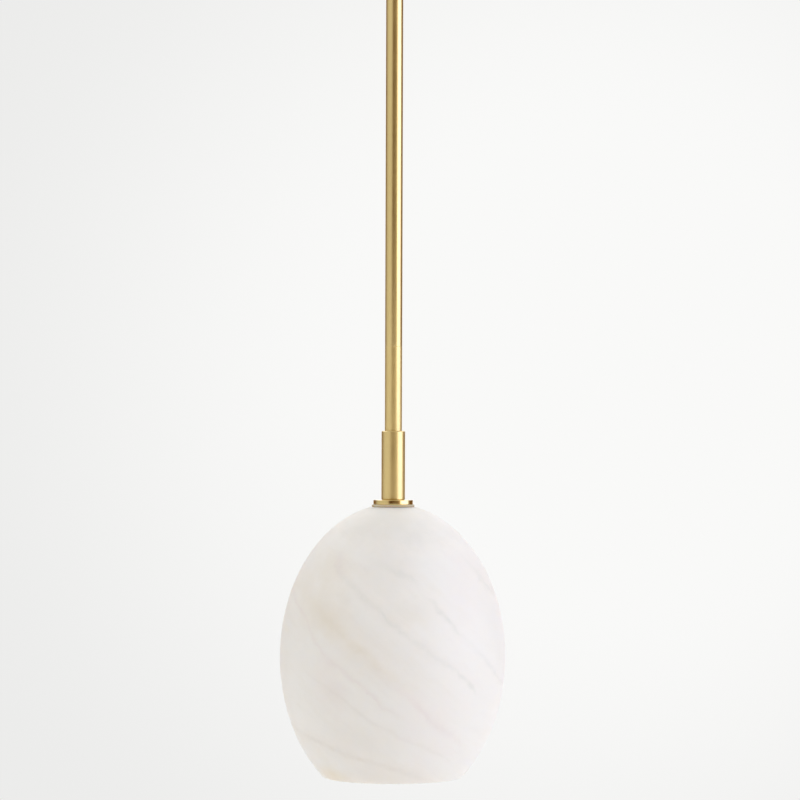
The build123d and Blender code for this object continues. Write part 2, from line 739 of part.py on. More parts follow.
nodes = {
    "ceiling_cross": make_ceiling_cross(),
    "ground_screw": make_ground_screw(),
    "ground_ring": make_ground_ring(),
    "canopy_studs": make_canopy_studs(),
    "cross_nuts": make_cross_nuts(),
    "canopy": make_canopy(),
    "canopy_nuts": make_canopy_nuts(),
    "stop_pin": make_stop_pin(),
    "slip_washer": make_slip_washer(),
    "wire_connectors": make_wire_connectors(),
    "canopy_leads": make_canopy_leads(),
    "swivel_housing": make_swivel_housing(),
    "stop_washer": make_stop_washer(),
    "spring_washer": split_washer(spring_washer_radius, pipe_radius + slip_gap, spring_top, stop_top),
    "swivel_nut": hex_nut(pipe_nut_flats, pipe_radius + thread_gap, swivel_nut_top, spring_top),
    "swivel_cup": make_swivel_cup(),
    "trunnion_screws": make_trunnion_screws(),
    "swivel_ball": make_swivel_ball(),
    "upper_rod": make_upper_rod(),
    "rod_joint_nipple": make_nipple(rod_seam + joint_nipple_length / 2, rod_seam - joint_nipple_length / 2),
    "lower_rod": make_rod(rod_seam, lower_rod_end),
    "lower_rod_nipple": make_nipple(
        lower_rod_end + lower_nipple_length / 2, lower_rod_end - lower_nipple_length / 2
    ),
    "neck_sleeve": make_neck_sleeve(),
    "main_nipple": make_nipple(sleeve_end + main_nipple_engagement, nipple_end),
    "top_flange": make_top_flange(),
    "outer_gasket": ring(outer_gasket_radius, clear_hole_radius, flange_end, shade_top),
    "alabaster_shade": make_alabaster_shade(),
    "inner_gasket": ring(inner_gasket_radius, clear_hole_radius, shade_seat, inner_gasket_end),
    "inner_washer": ring(inner_washer_radius, pipe_radius + slip_gap, inner_gasket_end, inner_washer_end),
    "lock_washer": split_washer(
        lock_washer_radius, pipe_radius + slip_gap, inner_washer_end, lock_washer_end
    ),
    "lock_nut": hex_nut(pipe_nut_flats, pipe_radius, lock_washer_end, lock_nut_end),
    "holder_bracket": make_holder_bracket(),
    "earth_ring": make_earth_ring(),
    "bracket_nut": hex_nut(pipe_nut_flats, pipe_radius, earth_ring_end, bracket_nut_end),
    "lampholder": make_lampholder(),
    "holder_screws": make_holder_screws(),
    "lamp_contacts": make_lamp_contacts(),
    "stem_leads": make_stem_leads(),
    "lamp_pins": make_lamp_pins(),
    "lamp_base": make_lamp_base(),
    "lamp_cover": make_lamp_cover(),
    "led_board": make_led_board(),
    "led_chips": make_led_chips(),
}

os.makedirs("parts", exist_ok=True)
for name, solids in nodes.items():
    shape = Compound(solids) if isinstance(solids, list) else solids
    export_step(shape, f"parts/{name}.step")

print(f"ball centre {ball_z:.2f}, upper rod top {upper_rod_top:.2f}, seam {rod_seam:.2f}")
print(f"sleeve {sleeve_top:.2f} to {sleeve_end:.2f}, shade {shade_top:.2f} to {shade_rim:.2f}")
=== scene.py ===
import json
from math import cos, pi, radians, sin, sqrt, tan

import bmesh
import bpy
import numpy as np
from mathutils import Matrix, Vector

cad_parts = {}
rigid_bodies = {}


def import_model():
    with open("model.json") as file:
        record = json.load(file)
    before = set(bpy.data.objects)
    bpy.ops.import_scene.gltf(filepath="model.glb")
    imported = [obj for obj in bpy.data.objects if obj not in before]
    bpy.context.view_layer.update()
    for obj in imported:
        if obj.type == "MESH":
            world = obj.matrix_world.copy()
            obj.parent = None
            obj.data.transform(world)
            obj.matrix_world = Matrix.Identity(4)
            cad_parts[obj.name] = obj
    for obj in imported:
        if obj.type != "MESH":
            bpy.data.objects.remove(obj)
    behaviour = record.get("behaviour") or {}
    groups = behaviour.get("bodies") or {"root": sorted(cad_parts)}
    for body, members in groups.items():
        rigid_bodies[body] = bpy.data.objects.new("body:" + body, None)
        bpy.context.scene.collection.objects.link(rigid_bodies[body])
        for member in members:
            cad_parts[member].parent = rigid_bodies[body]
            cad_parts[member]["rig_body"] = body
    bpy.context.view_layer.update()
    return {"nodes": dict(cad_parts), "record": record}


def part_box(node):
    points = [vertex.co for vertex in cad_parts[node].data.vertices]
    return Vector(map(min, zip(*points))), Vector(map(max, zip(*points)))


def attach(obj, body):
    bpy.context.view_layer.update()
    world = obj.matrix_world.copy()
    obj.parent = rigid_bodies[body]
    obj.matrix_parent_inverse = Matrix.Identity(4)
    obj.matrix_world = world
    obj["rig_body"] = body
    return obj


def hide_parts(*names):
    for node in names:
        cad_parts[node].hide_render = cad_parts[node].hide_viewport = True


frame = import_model()
cadNodes = frame["nodes"]
slotOf = {row["node"]: row["material_slot"] for row in frame["record"]["subparts"]}
mm = 0.001


# node shorthand

def put(tree, kind, inputs=None, **settings):
    node = tree.nodes.new("ShaderNode" + kind)
    for name, value in settings.items():
        setattr(node, name, value)
    for socket, value in (inputs or {}).items():
        if isinstance(value, bpy.types.NodeSocket):
            tree.links.new(value, node.inputs[socket])
        else:
            node.inputs[socket].default_value = value
    return node


def maths(tree, operation, *values):
    return put(tree, "Math", dict(enumerate(values)), operation=operation).outputs[0]


def spread(tree, value, low, high, toLow=0.0, toHigh=1.0):
    # smooth step: toLow below low, toHigh above high
    inputs = {"Value": value, "From Min": low, "From Max": high, "To Min": toLow, "To Max": toHigh}
    return put(tree, "MapRange", inputs, interpolation_type="SMOOTHSTEP").outputs[0]


def mixed(tree, share, under, over, way="MIX"):
    node = put(tree, "Mix", {0: share, 6: under, 7: over}, data_type="RGBA", blend_type=way)
    return node.outputs[2]


def noise(tree, place, scale, detail=2.0, roughness=0.5, out="Fac"):
    inputs = {"Vector": place, "Scale": scale, "Detail": detail, "Roughness": roughness}
    return put(tree, "TexNoise", inputs).outputs[out]


def curve(tree, value, points):
    # a drawn graph: the value runs from 0 to 1, and the points are (value, result)
    node = put(tree, "FloatCurve", {"Value": value})
    drawn = node.mapping.curves[0]
    while len(drawn.points) < len(points):
        drawn.points.new(0.5, 0.5)
    for point, place in zip(drawn.points, points):
        point.location = place
    node.mapping.use_clip = False
    node.mapping.extend = "EXTRAPOLATED"
    node.mapping.update()
    return node.outputs[0]


def colour(red, green, blue):
    return (red, green, blue, 1.0)


def newMaterial(name, plain):
    # plain holds the sockets that are the same all over the surface
    material = bpy.data.materials.new(name)
    material.use_nodes = True
    tree = material.node_tree
    shader = tree.nodes["Principled BSDF"]
    for socket, value in plain.items():
        shader.inputs[socket].default_value = value
    return material, tree, shader


def objectPlace(tree, centre=(0, 0, 0), scale=(1, 1, 1)):
    # Object coordinates, measured from centre and then scaled
    place = put(tree, "TexCoord").outputs["Object"]
    moved = put(tree, "VectorMath", {0: place, 1: centre}, operation="SUBTRACT").outputs[0]
    return put(tree, "VectorMath", {0: moved, 1: scale}, operation="MULTIPLY").outputs[0]


def feed(tree, shader, tone, dull):
    tree.links.new(tone, shader.inputs["Base Color"])
    tree.links.new(dull, shader.inputs["Roughness"])


def bumped(tree, shader, height, strength, depth):
    bump = put(tree, "Bump", {"Height": height, "Strength": strength, "Distance": depth})
    tree.links.new(bump.outputs[0], shader.inputs["Normal"])


# effects that several finishes use

def newGroup(name, numbers, outputs):
    group = bpy.data.node_groups.new(name, "ShaderNodeTree")
    face = group.interface
    face.new_socket("Place", in_out="INPUT", socket_type="NodeSocketVector")
    for label, value in numbers.items():
        face.new_socket(label, in_out="INPUT", socket_type="NodeSocketFloat").default_value = value
    for label in outputs:
        face.new_socket(label, in_out="OUTPUT", socket_type="NodeSocketFloat")
    start = group.nodes.new("NodeGroupInput").outputs
    end = group.nodes.new("NodeGroupOutput").inputs
    return group, start, end


def makeToolLines():
    # fine parallel lines: noise squeezed across them and drawn out along them
    group, start, end = newGroup("toolLines", {"Sideways": 40, "Upward": 6000}, ["Height"])
    stretch = put(group, "CombineXYZ", {0: start["Sideways"], 1: start["Sideways"], 2: start["Upward"]})
    place = put(group, "VectorMath", {0: start["Place"], 1: stretch.outputs[0]}, operation="MULTIPLY")
    fine = noise(group, place.outputs[0], 1.0, 2.0, 0.6)
    group.links.new(fine, end["Height"])
    return group


def makeHandling():
    # soft patches where a surface was touched and wiped, with thin long scratches among them
    group, start, end = newGroup("handling", {"Size": 60}, ["Patches", "Scratches"])
    patches = noise(group, start["Place"], start["Size"], 4.0, 0.55)
    group.links.new(spread(group, patches, 0.35, 0.7), end["Patches"])
    drawnOut = put(group, "Mapping", {0: start["Place"], 2: (0.5, 0.9, 0.3), 3: (180, 2400, 300)})
    lines = noise(group, drawnOut.outputs[0], 1.0, 1.0, 0.4)
    group.links.new(spread(group, lines, 0.74, 0.8), end["Scratches"])
    return group


def makeGrains():
    # small round-edged cells, as in cast, moulded and zinc-plated surfaces
    group, start, end = newGroup("grains", {"Size": 900}, ["Height", "Tone"])
    cells = put(group, "TexVoronoi", {"Vector": start["Place"], "Scale": start["Size"]})
    group.links.new(cells.outputs["Distance"], end["Height"])
    tone = put(group, "SeparateColor", {0: cells.outputs["Color"]})
    group.links.new(tone.outputs[0], end["Tone"])
    return group


toolLines = makeToolLines()
handling = makeHandling()
grains = makeGrains()


def use(tree, group, place, **numbers):
    node = put(tree, "Group", node_tree=group)
    tree.links.new(place, node.inputs["Place"])
    for label, value in numbers.items():
        node.inputs[label].default_value = value
    return node.outputs


# alabaster

stone = {
    "radius": 83 * mm,
    "halfHeight": 112.12 * mm,      # the upright semi-axis of the egg's ellipse
    "crown": 110.02 * mm,           # from the ellipse's centre up to the flat top
    "wall": 8 * mm,
    "topThickness": 12 * mm,
    "hole": 5.4 * mm,
    "holeEdge": 0.4 * mm,
    "rimOuter": 3 * mm,
    "rimInner": 2 * mm,
    "crownGap": 0.6 * mm,           # the outer ellipse's last point lies this far under the flat top
    "endGap": 5 * mm,               # the ellipses stop this far from their rounded ends
    "columns": 192,
    "bedding": 41,                  # mm across and up that the drawn veins may cover
    "drawnWide": 200,               # mm across and up that the hand-drawn veins may cover
    "drawnHigh": 240,
    "slant": 0.76,                  # a vein's true breadth, as a share of its upright one
    "wander": ((0.03, 7), (0.1, 5), (0.33, 1.8)),   # waves per mm, and mm that they push
    "dipFrom": 8.0,                 # mm in front of the axis where the sheets start to dip
    "dip": (0.24, 0.62),            # mm across and up, for each mm further back
    "strands": (0.011, 0.06, 0.012),    # waves per mm along the veins, across them and inwards
    "hairs": (2.2, 4.6, 2.2),       # how much closer together the finest strands lie
    "body": colour(0.954, 0.9, 0.846),
    "milk": colour(0.951, 0.914, 0.882),
    "ochre": colour(0.74, 0.655, 0.545),
    "umber": colour(0.62, 0.56, 0.50),
    "grey": colour(0.62, 0.635, 0.59),
    "straw": colour(0.82, 0.775, 0.68),
    "rose": colour(0.81, 0.69, 0.685),
    "blush": colour(0.985, 0.88, 0.84),
    "plum": colour(0.70, 0.60, 0.63),
    "amber": colour(0.82, 0.66, 0.47),
    "plain": {"Roughness": 0.52, "IOR": 1.52, "Subsurface Weight": 0.85, "Subsurface Scale": 0.024,
              "Subsurface Radius": (1.0, 0.9, 0.78)},
}

# Veins: sheets that cross the egg. Each line is what the front shows, in mm across and up from the
# ellipse's centre, with a narrow core and a wide soft halo. Strengths are (mm across, share of tint).
veins = [
    {"tint": "ochre", "core": 5.0, "halo": 15.0,
     "line": [(-76, 62), (-58, 43), (-44, 27), (-36, 19), (-26, 10), (-16, 3), (-7, -4), (4, -12), (16, -20),
              (33, -33), (60, -52)],
     "coreIs": [(-60, 0.04), (-42, 0.14), (-27, 0.2), (-12, 0.14), (6, 0.05), (22, 0.01), (60, 0)],
     "haloIs": [(-76, 0.1), (-56, 0.24), (-34, 0.3), (-12, 0.24), (8, 0.14), (28, 0.05), (60, 0)]},
    {"tint": "grey", "core": 3.0, "halo": 7.0,
     "line": [(-52, 80), (-36, 60), (-24, 49), (-14, 42), (0, 29), (15, 17), (27, 9), (42, -3), (57, -18),
              (76, -36)],
     "coreIs": [(-46, 0.02), (-26, 0.12), (-8, 0.14), (14, 0.14), (30, 0.1), (44, 0.13), (56, 0.28),
                (62, 0.04), (76, 0.02)],
     "haloIs": [(-46, 0), (-20, 0.08), (14, 0.1), (44, 0.07), (60, 0.02), (76, 0)]},
    {"tint": "grey", "core": 2.4, "halo": 4.5,
     "line": [(-24, 78), (0, 67), (14, 60), (24, 48), (34, 37), (42, 28), (47, 23), (58, 12), (67, 1),
              (80, -18)],
     "coreIs": [(-24, 0), (-6, 0.02), (3, 0.1), (12, 0.1), (20, 0.03), (30, 0.14), (38, 0.24), (45, 0.22),
                (52, 0.05), (62, 0.07), (70, 0.14), (80, 0.14)],
     "haloIs": [(-24, 0), (4, 0.08), (20, 0.04), (40, 0.12), (56, 0.02), (72, 0.05), (80, 0.04)]},
    {"tint": "grey", "core": 2.1, "halo": 4.0,
     "line": [(30, 94), (50, 76), (60, 66), (69, 54), (80, 38)],
     "coreIs": [(40, 0), (58, 0.08), (69, 0.18), (80, 0.14)], "haloIs": [(40, 0), (69, 0.05), (80, 0.05)]},
    {"tint": "rose", "core": 2.4, "halo": 5.0,
     "line": [(-80, 62), (-72, 47), (-64, 34), (-56, 16), (-50, 6), (-34, -6), (-17, -20), (-7, -30),
              (10, -40), (40, -58)],
     "coreIs": [(-80, 0.16), (-64, 0.18), (-50, 0.12), (-34, 0.2), (-17, 0.18), (0, 0.1), (14, 0)],
     "haloIs": [(-80, 0.08), (-34, 0.08), (-10, 0.06), (14, 0)]},
    {"tint": "rose", "core": 3.6, "halo": 8.0,
     "line": [(-4, -16), (14, -27), (25, -38), (37, -48), (47, -57), (64, -72)],
     "coreIs": [(0, 0), (14, 0.12), (26, 0.2), (42, 0.14), (56, 0.02)],
     "haloIs": [(0, 0), (14, 0.1), (30, 0.16), (48, 0.06), (60, 0)]},
    {"tint": "umber", "core": 2.5, "halo": 6.0,
     "line": [(-76, -48), (-61, -55), (-51, -60), (-31, -67), (-17, -72), (-2, -77), (18, -83), (32, -88),
              (54, -96)],
     "coreIs": [(-76, 0.04), (-60, 0.13), (-40, 0.17), (-18, 0.18), (0, 0.14), (16, 0.09), (34, 0.05),
                (54, 0)],
     "haloIs": [(-76, 0.02), (-50, 0.08), (-20, 0.1), (10, 0.06), (40, 0)]},
    {"tint": "umber", "core": 2.0, "halo": 4.0,
     "line": [(-70, -2), (-56, -12), (-40, -22), (-20, -38), (0, -50), (26, -62), (50, -80)],
     "coreIs": [(-70, 0), (-48, 0.06), (-20, 0.1), (4, 0.04), (26, 0.08), (50, 0)],
     "haloIs": [(-70, 0), (-20, 0.04), (50, 0)]},
]

# Clouds: soft tinted patches, centred in mm across, towards the back and up from the ellipse's centre; the
# grey one on the crown is painted shade
clouds = [
    {"tint": "ochre", "at": (-46, -52, 66), "size": (26, 44, 26), "strength": 0.32},
    {"tint": "ochre", "at": (-48, -60, 36), "size": (28, 44, 24), "strength": 0.34},
    {"tint": "grey", "at": (-2, -74, 64), "size": (28, 44, 28), "strength": 0.2},
    {"tint": "straw", "at": (14, -76, 36), "size": (26, 44, 17), "strength": 0.28},
    {"tint": "rose", "at": (-44, -62, -16), "size": (20, 44, 30), "strength": 0.22},
    {"tint": "plum", "at": (-38, -66, -22), "size": (11, 40, 13), "strength": 0.12},
    {"tint": "milk", "at": (46, -56, 50), "size": (30, 50, 50), "strength": 0.5},
    {"tint": "rose", "at": (50, -52, 52), "size": (22, 44, 38), "strength": 0.2},
    {"tint": "blush", "at": (28, -62, -42), "size": (34, 44, 34), "strength": 0.7},
    {"tint": "rose", "at": (20, -46, -82), "size": (18, 40, 14), "strength": 0.12},
    {"tint": "ochre", "at": (-16, -60, -54), "size": (38, 44, 17), "strength": 0.1},
    {"tint": "amber", "at": (-46, -36, -88), "size": (22, 40, 14), "strength": 0.55},
    {"tint": "ochre", "at": (-6, -50, -90), "size": (60, 44, 15), "strength": 0.24},
    {"tint": "grey", "at": (-80, -14, 0), "size": (14, 50, 60), "strength": 0.05},
    # painted shade: this grey patch darkens the top of the egg round the flange
    {"tint": "grey", "at": (4, -40, 106), "size": (60, 60, 28), "strength": 0.4},
    {"tint": "plum", "at": (-38, -48, 67), "size": (6, 34, 13), "strength": 0.24},
    {"tint": "ochre", "at": (36, 66, 34), "size": (46, 50, 26), "strength": 0.22},
    {"tint": "rose", "at": (-34, 66, -28), "size": (44, 50, 32), "strength": 0.16},
    {"tint": "grey", "at": (-30, 60, 56), "size": (36, 44, 24), "strength": 0.14},
]


def drawnStrength(tree, share, points):
    graph = [(0.5 + x / stone["drawnWide"], amount) for x, amount in points]
    return maths(tree, "MAXIMUM", curve(tree, share, graph), 0.0)


def makeAlabaster():
    material, tree, shader = newMaterial("veinedAlabaster", stone["plain"])
    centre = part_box("alabaster_shade")[1].z - stone["crown"]
    straight = objectPlace(tree, (0, 0, centre), (1 / mm, 1 / mm, 1 / mm))
    # everything wanders, in long bends and in small ragged ones
    place = straight
    for often, reach in stone["wander"]:
        sway = noise(tree, straight, often, 2.0, 0.6, "Color")
        push = put(tree, "VectorMath", {0: sway, 1: (0.5, 0.5, 0.5)}, operation="SUBTRACT").outputs[0]
        push = put(tree, "VectorMath", {0: push, 1: (reach, reach, reach)}, operation="MULTIPLY").outputs[0]
        place = put(tree, "VectorMath", {0: place, 1: push}, operation="ADD").outputs[0]
    axes = put(tree, "SeparateXYZ", {0: place}).outputs
    # behind the silhouette the sheets dip, so that the back isn't the front's mirror image
    behind = maths(tree, "MAXIMUM", maths(tree, "ADD", axes[1], stone["dipFrom"]), 0.0)
    across = maths(tree, "MULTIPLY_ADD", behind, stone["dip"][0], axes[0])
    up = maths(tree, "MULTIPLY_ADD", behind, stone["dip"][1], axes[2])
    share = maths(tree, "MULTIPLY_ADD", across, 1 / stone["drawnWide"], 0.5)
    # strands lie along the veins, which fall to the right at bedding degrees
    bedding = radians(stone["bedding"])
    fall = maths(tree, "MULTIPLY_ADD", up, cos(bedding), maths(tree, "MULTIPLY", across, sin(bedding)))
    along = maths(tree, "MULTIPLY_ADD", up, -sin(bedding), maths(tree, "MULTIPLY", across, cos(bedding)))
    laid = put(tree, "CombineXYZ", {0: along, 1: fall, 2: axes[1]}).outputs[0]
    bed = put(tree, "VectorMath", {0: laid, 1: stone["strands"]}, operation="MULTIPLY").outputs[0]
    strands = noise(tree, bed, 1.0, 6.0, 0.62)
    fineBed = put(tree, "VectorMath", {0: bed, 1: stone["hairs"]}, operation="MULTIPLY").outputs[0]
    hairs = noise(tree, fineBed, 1.0, 4.0, 0.6)
    mottle = noise(tree, place, 0.034, 5.0, 0.62)
    tint = mixed(tree, spread(tree, strands, 0.47, 0.75, 0.0, 0.16), stone["body"], stone["ochre"])
    tint = mixed(tree, spread(tree, strands, 0.46, 0.26, 0.0, 0.12), tint, stone["rose"])
    tint = mixed(tree, spread(tree, hairs, 0.6, 0.76, 0.0, 0.07), tint, stone["umber"])
    for cloud in clouds:
        moved = put(tree, "VectorMath", {0: place, 1: cloud["at"]}, operation="SUBTRACT").outputs[0]
        scaled = put(tree, "VectorMath", {0: moved, 1: cloud["size"]}, operation="DIVIDE").outputs[0]
        away = put(tree, "VectorMath", {0: scaled}, operation="LENGTH").outputs["Value"]
        ragged = maths(tree, "MULTIPLY_ADD", mottle, 0.9, maths(tree, "SUBTRACT", away, 0.45))
        ragged = maths(tree, "MULTIPLY_ADD", strands, 0.7, maths(tree, "SUBTRACT", ragged, 0.35))
        mask = spread(tree, ragged, 0.1, 1.15, cloud["strength"], 0.0)
        tint = mixed(tree, mask, tint, stone[cloud["tint"]])
    patches = noise(tree, place, 0.11, 3.0, 0.6)
    patchy = spread(tree, patches, 0.3, 0.68, 0.35, 1.2)
    wide, high = stone["drawnWide"], stone["drawnHigh"]
    for vein in veins:
        line = curve(tree, share, [(0.5 + x / wide, 0.5 + z / high) for x, z in vein["line"]])
        height = maths(tree, "MULTIPLY_ADD", line, high, -high / 2)
        apart = maths(tree, "ABSOLUTE", maths(tree, "SUBTRACT", up, height))
        apart = maths(tree, "MULTIPLY", apart, stone["slant"])
        core = spread(tree, apart, 0.0, vein["core"], 1.0, 0.0)
        halo = spread(tree, apart, 0.0, vein["halo"], 1.0, 0.0)
        core = maths(tree, "MULTIPLY", core, drawnStrength(tree, share, vein["coreIs"]))
        halo = maths(tree, "MULTIPLY", halo, drawnStrength(tree, share, vein["haloIs"]))
        mask = maths(tree, "MULTIPLY_ADD", core, patchy, halo)
        tint = mixed(tree, mask, tint, stone[vein["tint"]])
    # honed: a matt skin with the marks of the last fine paper and small open pores
    paper = noise(tree, straight, 2.2, 3.0, 0.6)
    pores = spread(tree, noise(tree, straight, 0.9, 2.0, 0.5), 0.74, 0.8, 1.0, 0.0)
    height = maths(tree, "MULTIPLY_ADD", paper, 0.35, pores)
    bumped(tree, shader, height, 0.25, 0.12 * mm)
    feed(tree, shader, tint, spread(tree, paper, 0.3, 0.7, 0.47, 0.58))
    return material


# metals

brassLook = {
    "metal": colour(0.77, 0.605, 0.262),
    "deep": colour(0.73, 0.56, 0.23),
    "plain": {"Metallic": 1.0, "Coat Weight": 1.0, "Coat Roughness": 0.16, "Coat IOR": 1.6},
}

# Each brass surface: its roughness, how far that varies, and its turned lines per metre of height
brassKinds = {
    "satinBrass": {"rough": 0.355, "varies": 0.04, "lines": 5200.0},
    "upperRodBrass": {"rough": 0.28, "varies": 0.03, "lines": 5200.0},
    "lowerRodBrass": {"rough": 0.4, "varies": 0.04, "lines": 4200.0},
    "polishedFlange": {"rough": 0.13, "varies": 0.03, "lines": 6000.0},
}
brassOf = {"upper_rod": "upperRodBrass", "lower_rod": "lowerRodBrass", "top_flange": "polishedFlange"}


def makeBrass(name, kind):
    material, tree, shader = newMaterial(name, brassLook["plain"])
    place = objectPlace(tree)
    lines = use(tree, toolLines, place, Sideways=30.0, Upward=kind["lines"])["Height"]
    marks = use(tree, handling, place, Size=38.0)
    handled = maths(tree, "MULTIPLY", marks["Patches"], 0.4)
    tone = mixed(tree, handled, brassLook["metal"], brassLook["deep"])
    dull = maths(tree, "MULTIPLY_ADD", marks["Patches"], kind["varies"], kind["rough"])
    feed(tree, shader, tone, maths(tree, "MULTIPLY_ADD", marks["Scratches"], 0.04, dull))
    bumped(tree, shader, lines, 0.14, 0.04 * mm)
    return material


zincLook = {
    "metal": colour(0.56, 0.575, 0.59),
    "bright": colour(0.68, 0.69, 0.69),
    "plain": {"Metallic": 1.0},
}


def makeZinc():
    material, tree, shader = newMaterial("zincPlatedSteel", zincLook["plain"])
    place = objectPlace(tree)
    spangle = use(tree, grains, place, Size=420.0)
    marks = use(tree, handling, place, Size=90.0)
    speckled = maths(tree, "MULTIPLY", spangle["Tone"], 0.5)
    tone = mixed(tree, speckled, zincLook["metal"], zincLook["bright"])
    feed(tree, shader, tone, spread(tree, marks["Patches"], 0.0, 1.0, 0.3, 0.36))
    bumped(tree, shader, marks["Scratches"], 0.1, 0.03 * mm)
    return material


greenLook = {
    "green": colour(0.02, 0.17, 0.055),
    "worn": colour(0.10, 0.30, 0.13),
    "plain": {"Metallic": 0.75, "Coat Weight": 0.2},
}


def makeGreenScrew():
    material, tree, shader = newMaterial("greenGroundScrew", greenLook["plain"])
    marks = use(tree, handling, objectPlace(tree), Size=700.0)
    tone = mixed(tree, marks["Patches"], greenLook["green"], greenLook["worn"])
    feed(tree, shader, tone, spread(tree, marks["Patches"], 0.0, 1.0, 0.26, 0.4))
    bumped(tree, shader, marks["Scratches"], 0.1, 0.03 * mm)
    return material


wireLook = {
    "nickel": colour(0.70, 0.67, 0.61),
    "dull": colour(0.55, 0.52, 0.46),
    "plain": {"Metallic": 1.0},
}


def makePinWire():
    material, tree, shader = newMaterial("nickelPinWire", wireLook["plain"])
    place = objectPlace(tree)
    drawn = use(tree, toolLines, place, Sideways=5000.0, Upward=60.0)["Height"]
    marks = use(tree, handling, place, Size=500.0)
    tone = mixed(tree, marks["Patches"], wireLook["nickel"], wireLook["dull"])
    feed(tree, shader, tone, spread(tree, drawn, 0.3, 0.7, 0.14, 0.24))
    bumped(tree, shader, drawn, 0.08, 0.02 * mm)
    return material


# ceramics, rubber and plastics: each one's two tones, roughnesses, grain and plain sockets

softLooks = {
    "porcelain": {"tones": ((0.82, 0.81, 0.765), (0.76, 0.74, 0.69)), "rough": (0.08, 0.14), "grain": 260.0,
                  "depth": 0.00006, "plain": {"Coat Weight": 0.5, "Coat Roughness": 0.05,
                                              "Subsurface Weight": 0.1, "Subsurface Scale": 0.002}},
    "lamp_ceramic": {"tones": ((0.84, 0.84, 0.81), (0.77, 0.765, 0.73)), "rough": (0.42, 0.55),
                     "grain": 1500.0, "depth": 0.00005,
                     "plain": {"Subsurface Weight": 0.1, "Subsurface Scale": 0.001}},
    "nylon": {"tones": ((0.80, 0.785, 0.73), (0.73, 0.71, 0.65)), "rough": (0.36, 0.46), "grain": 1100.0,
              "depth": 0.00004, "plain": {"Subsurface Weight": 0.2, "Subsurface Scale": 0.002}},
    "connector_plastic": {"tones": ((0.60, 0.095, 0.012), (0.50, 0.07, 0.01)), "rough": (0.34, 0.46),
                          "grain": 1300.0, "depth": 0.00005, "plain": {"Specular IOR Level": 0.45}},
    "black_rubber": {"tones": ((0.014, 0.014, 0.014), (0.03, 0.029, 0.027)), "rough": (0.6, 0.78),
                     "grain": 1200.0, "depth": 0.00008, "plain": {"Specular IOR Level": 0.35}},
    "clear_silicone": {"tones": ((0.88, 0.76, 0.56), (0.82, 0.68, 0.47)), "rough": (0.16, 0.26),
                       "grain": 700.0, "depth": 0.00004,
                       "plain": {"Transmission Weight": 0.4, "IOR": 1.41, "Subsurface Weight": 0.3,
                                 "Subsurface Scale": 0.002}},
    "frosted_glass": {"tones": ((0.95, 0.95, 0.935), (0.9, 0.905, 0.89)), "rough": (0.42, 0.52),
                      "grain": 1600.0, "depth": 0.00005, "plain": {"Transmission Weight": 0.5, "IOR": 1.46}},
    "led_board": {"tones": ((0.80, 0.81, 0.80), (0.70, 0.71, 0.70)), "rough": (0.24, 0.34), "grain": 2200.0,
                  "depth": 0.00002, "plain": {"Coat Weight": 0.3}},
}


def makeSoftFinish(name, look):
    material, tree, shader = newMaterial(name, look["plain"])
    place = objectPlace(tree)
    marks = use(tree, handling, place, Size=look["grain"] / 9)
    skin = use(tree, grains, place, Size=look["grain"])
    first, second = look["tones"]
    tone = mixed(tree, marks["Patches"], colour(*first), colour(*second))
    feed(tree, shader, tone, spread(tree, marks["Patches"], 0.0, 1.0, *look["rough"]))
    bumped(tree, shader, skin["Height"], 0.3, look["depth"])
    return material


leadLook = {
    "live": colour(0.012, 0.012, 0.013),
    "neutral": colour(0.78, 0.77, 0.73),
    "ground": colour(0.03, 0.24, 0.075),
    "dust": colour(0.5, 0.48, 0.44),
    "plain": {"Specular IOR Level": 0.4},
}


def makeLeadInsulation():
    # the ground lead lies behind the axis, the live one to the right and the neutral to the left
    material, tree, shader = newMaterial("leadInsulation", leadLook["plain"])
    place = objectPlace(tree)
    axes = put(tree, "SeparateXYZ", {0: place}).outputs
    slope = maths(tree, "MULTIPLY", maths(tree, "ABSOLUTE", axes[0]), tan(radians(30)))
    isGround = maths(tree, "GREATER_THAN", axes[1], slope)
    isLive = maths(tree, "GREATER_THAN", axes[0], 0.0)
    tone = mixed(tree, isLive, leadLook["neutral"], leadLook["live"])
    tone = mixed(tree, isGround, tone, leadLook["ground"])
    marks = use(tree, handling, place, Size=300.0)
    tone = mixed(tree, maths(tree, "MULTIPLY", marks["Patches"], 0.07), tone, leadLook["dust"])
    feed(tree, shader, tone, spread(tree, marks["Patches"], 0.0, 1.0, 0.3, 0.44))
    bumped(tree, shader, use(tree, grains, place, Size=1800.0)["Height"], 0.15, 0.03 * mm)
    return material


chipLook = {
    "size": 2.4 * mm,
    "rows": 5,
    "lens": 0.86 * mm,              # half-width of the yellow window
    "lensEdge": 0.08 * mm,
    "phosphor": colour(0.86, 0.62, 0.10),
    "case": colour(0.83, 0.82, 0.78),
    "plain": {"Coat Weight": 0.4, "Coat Roughness": 0.1},
}


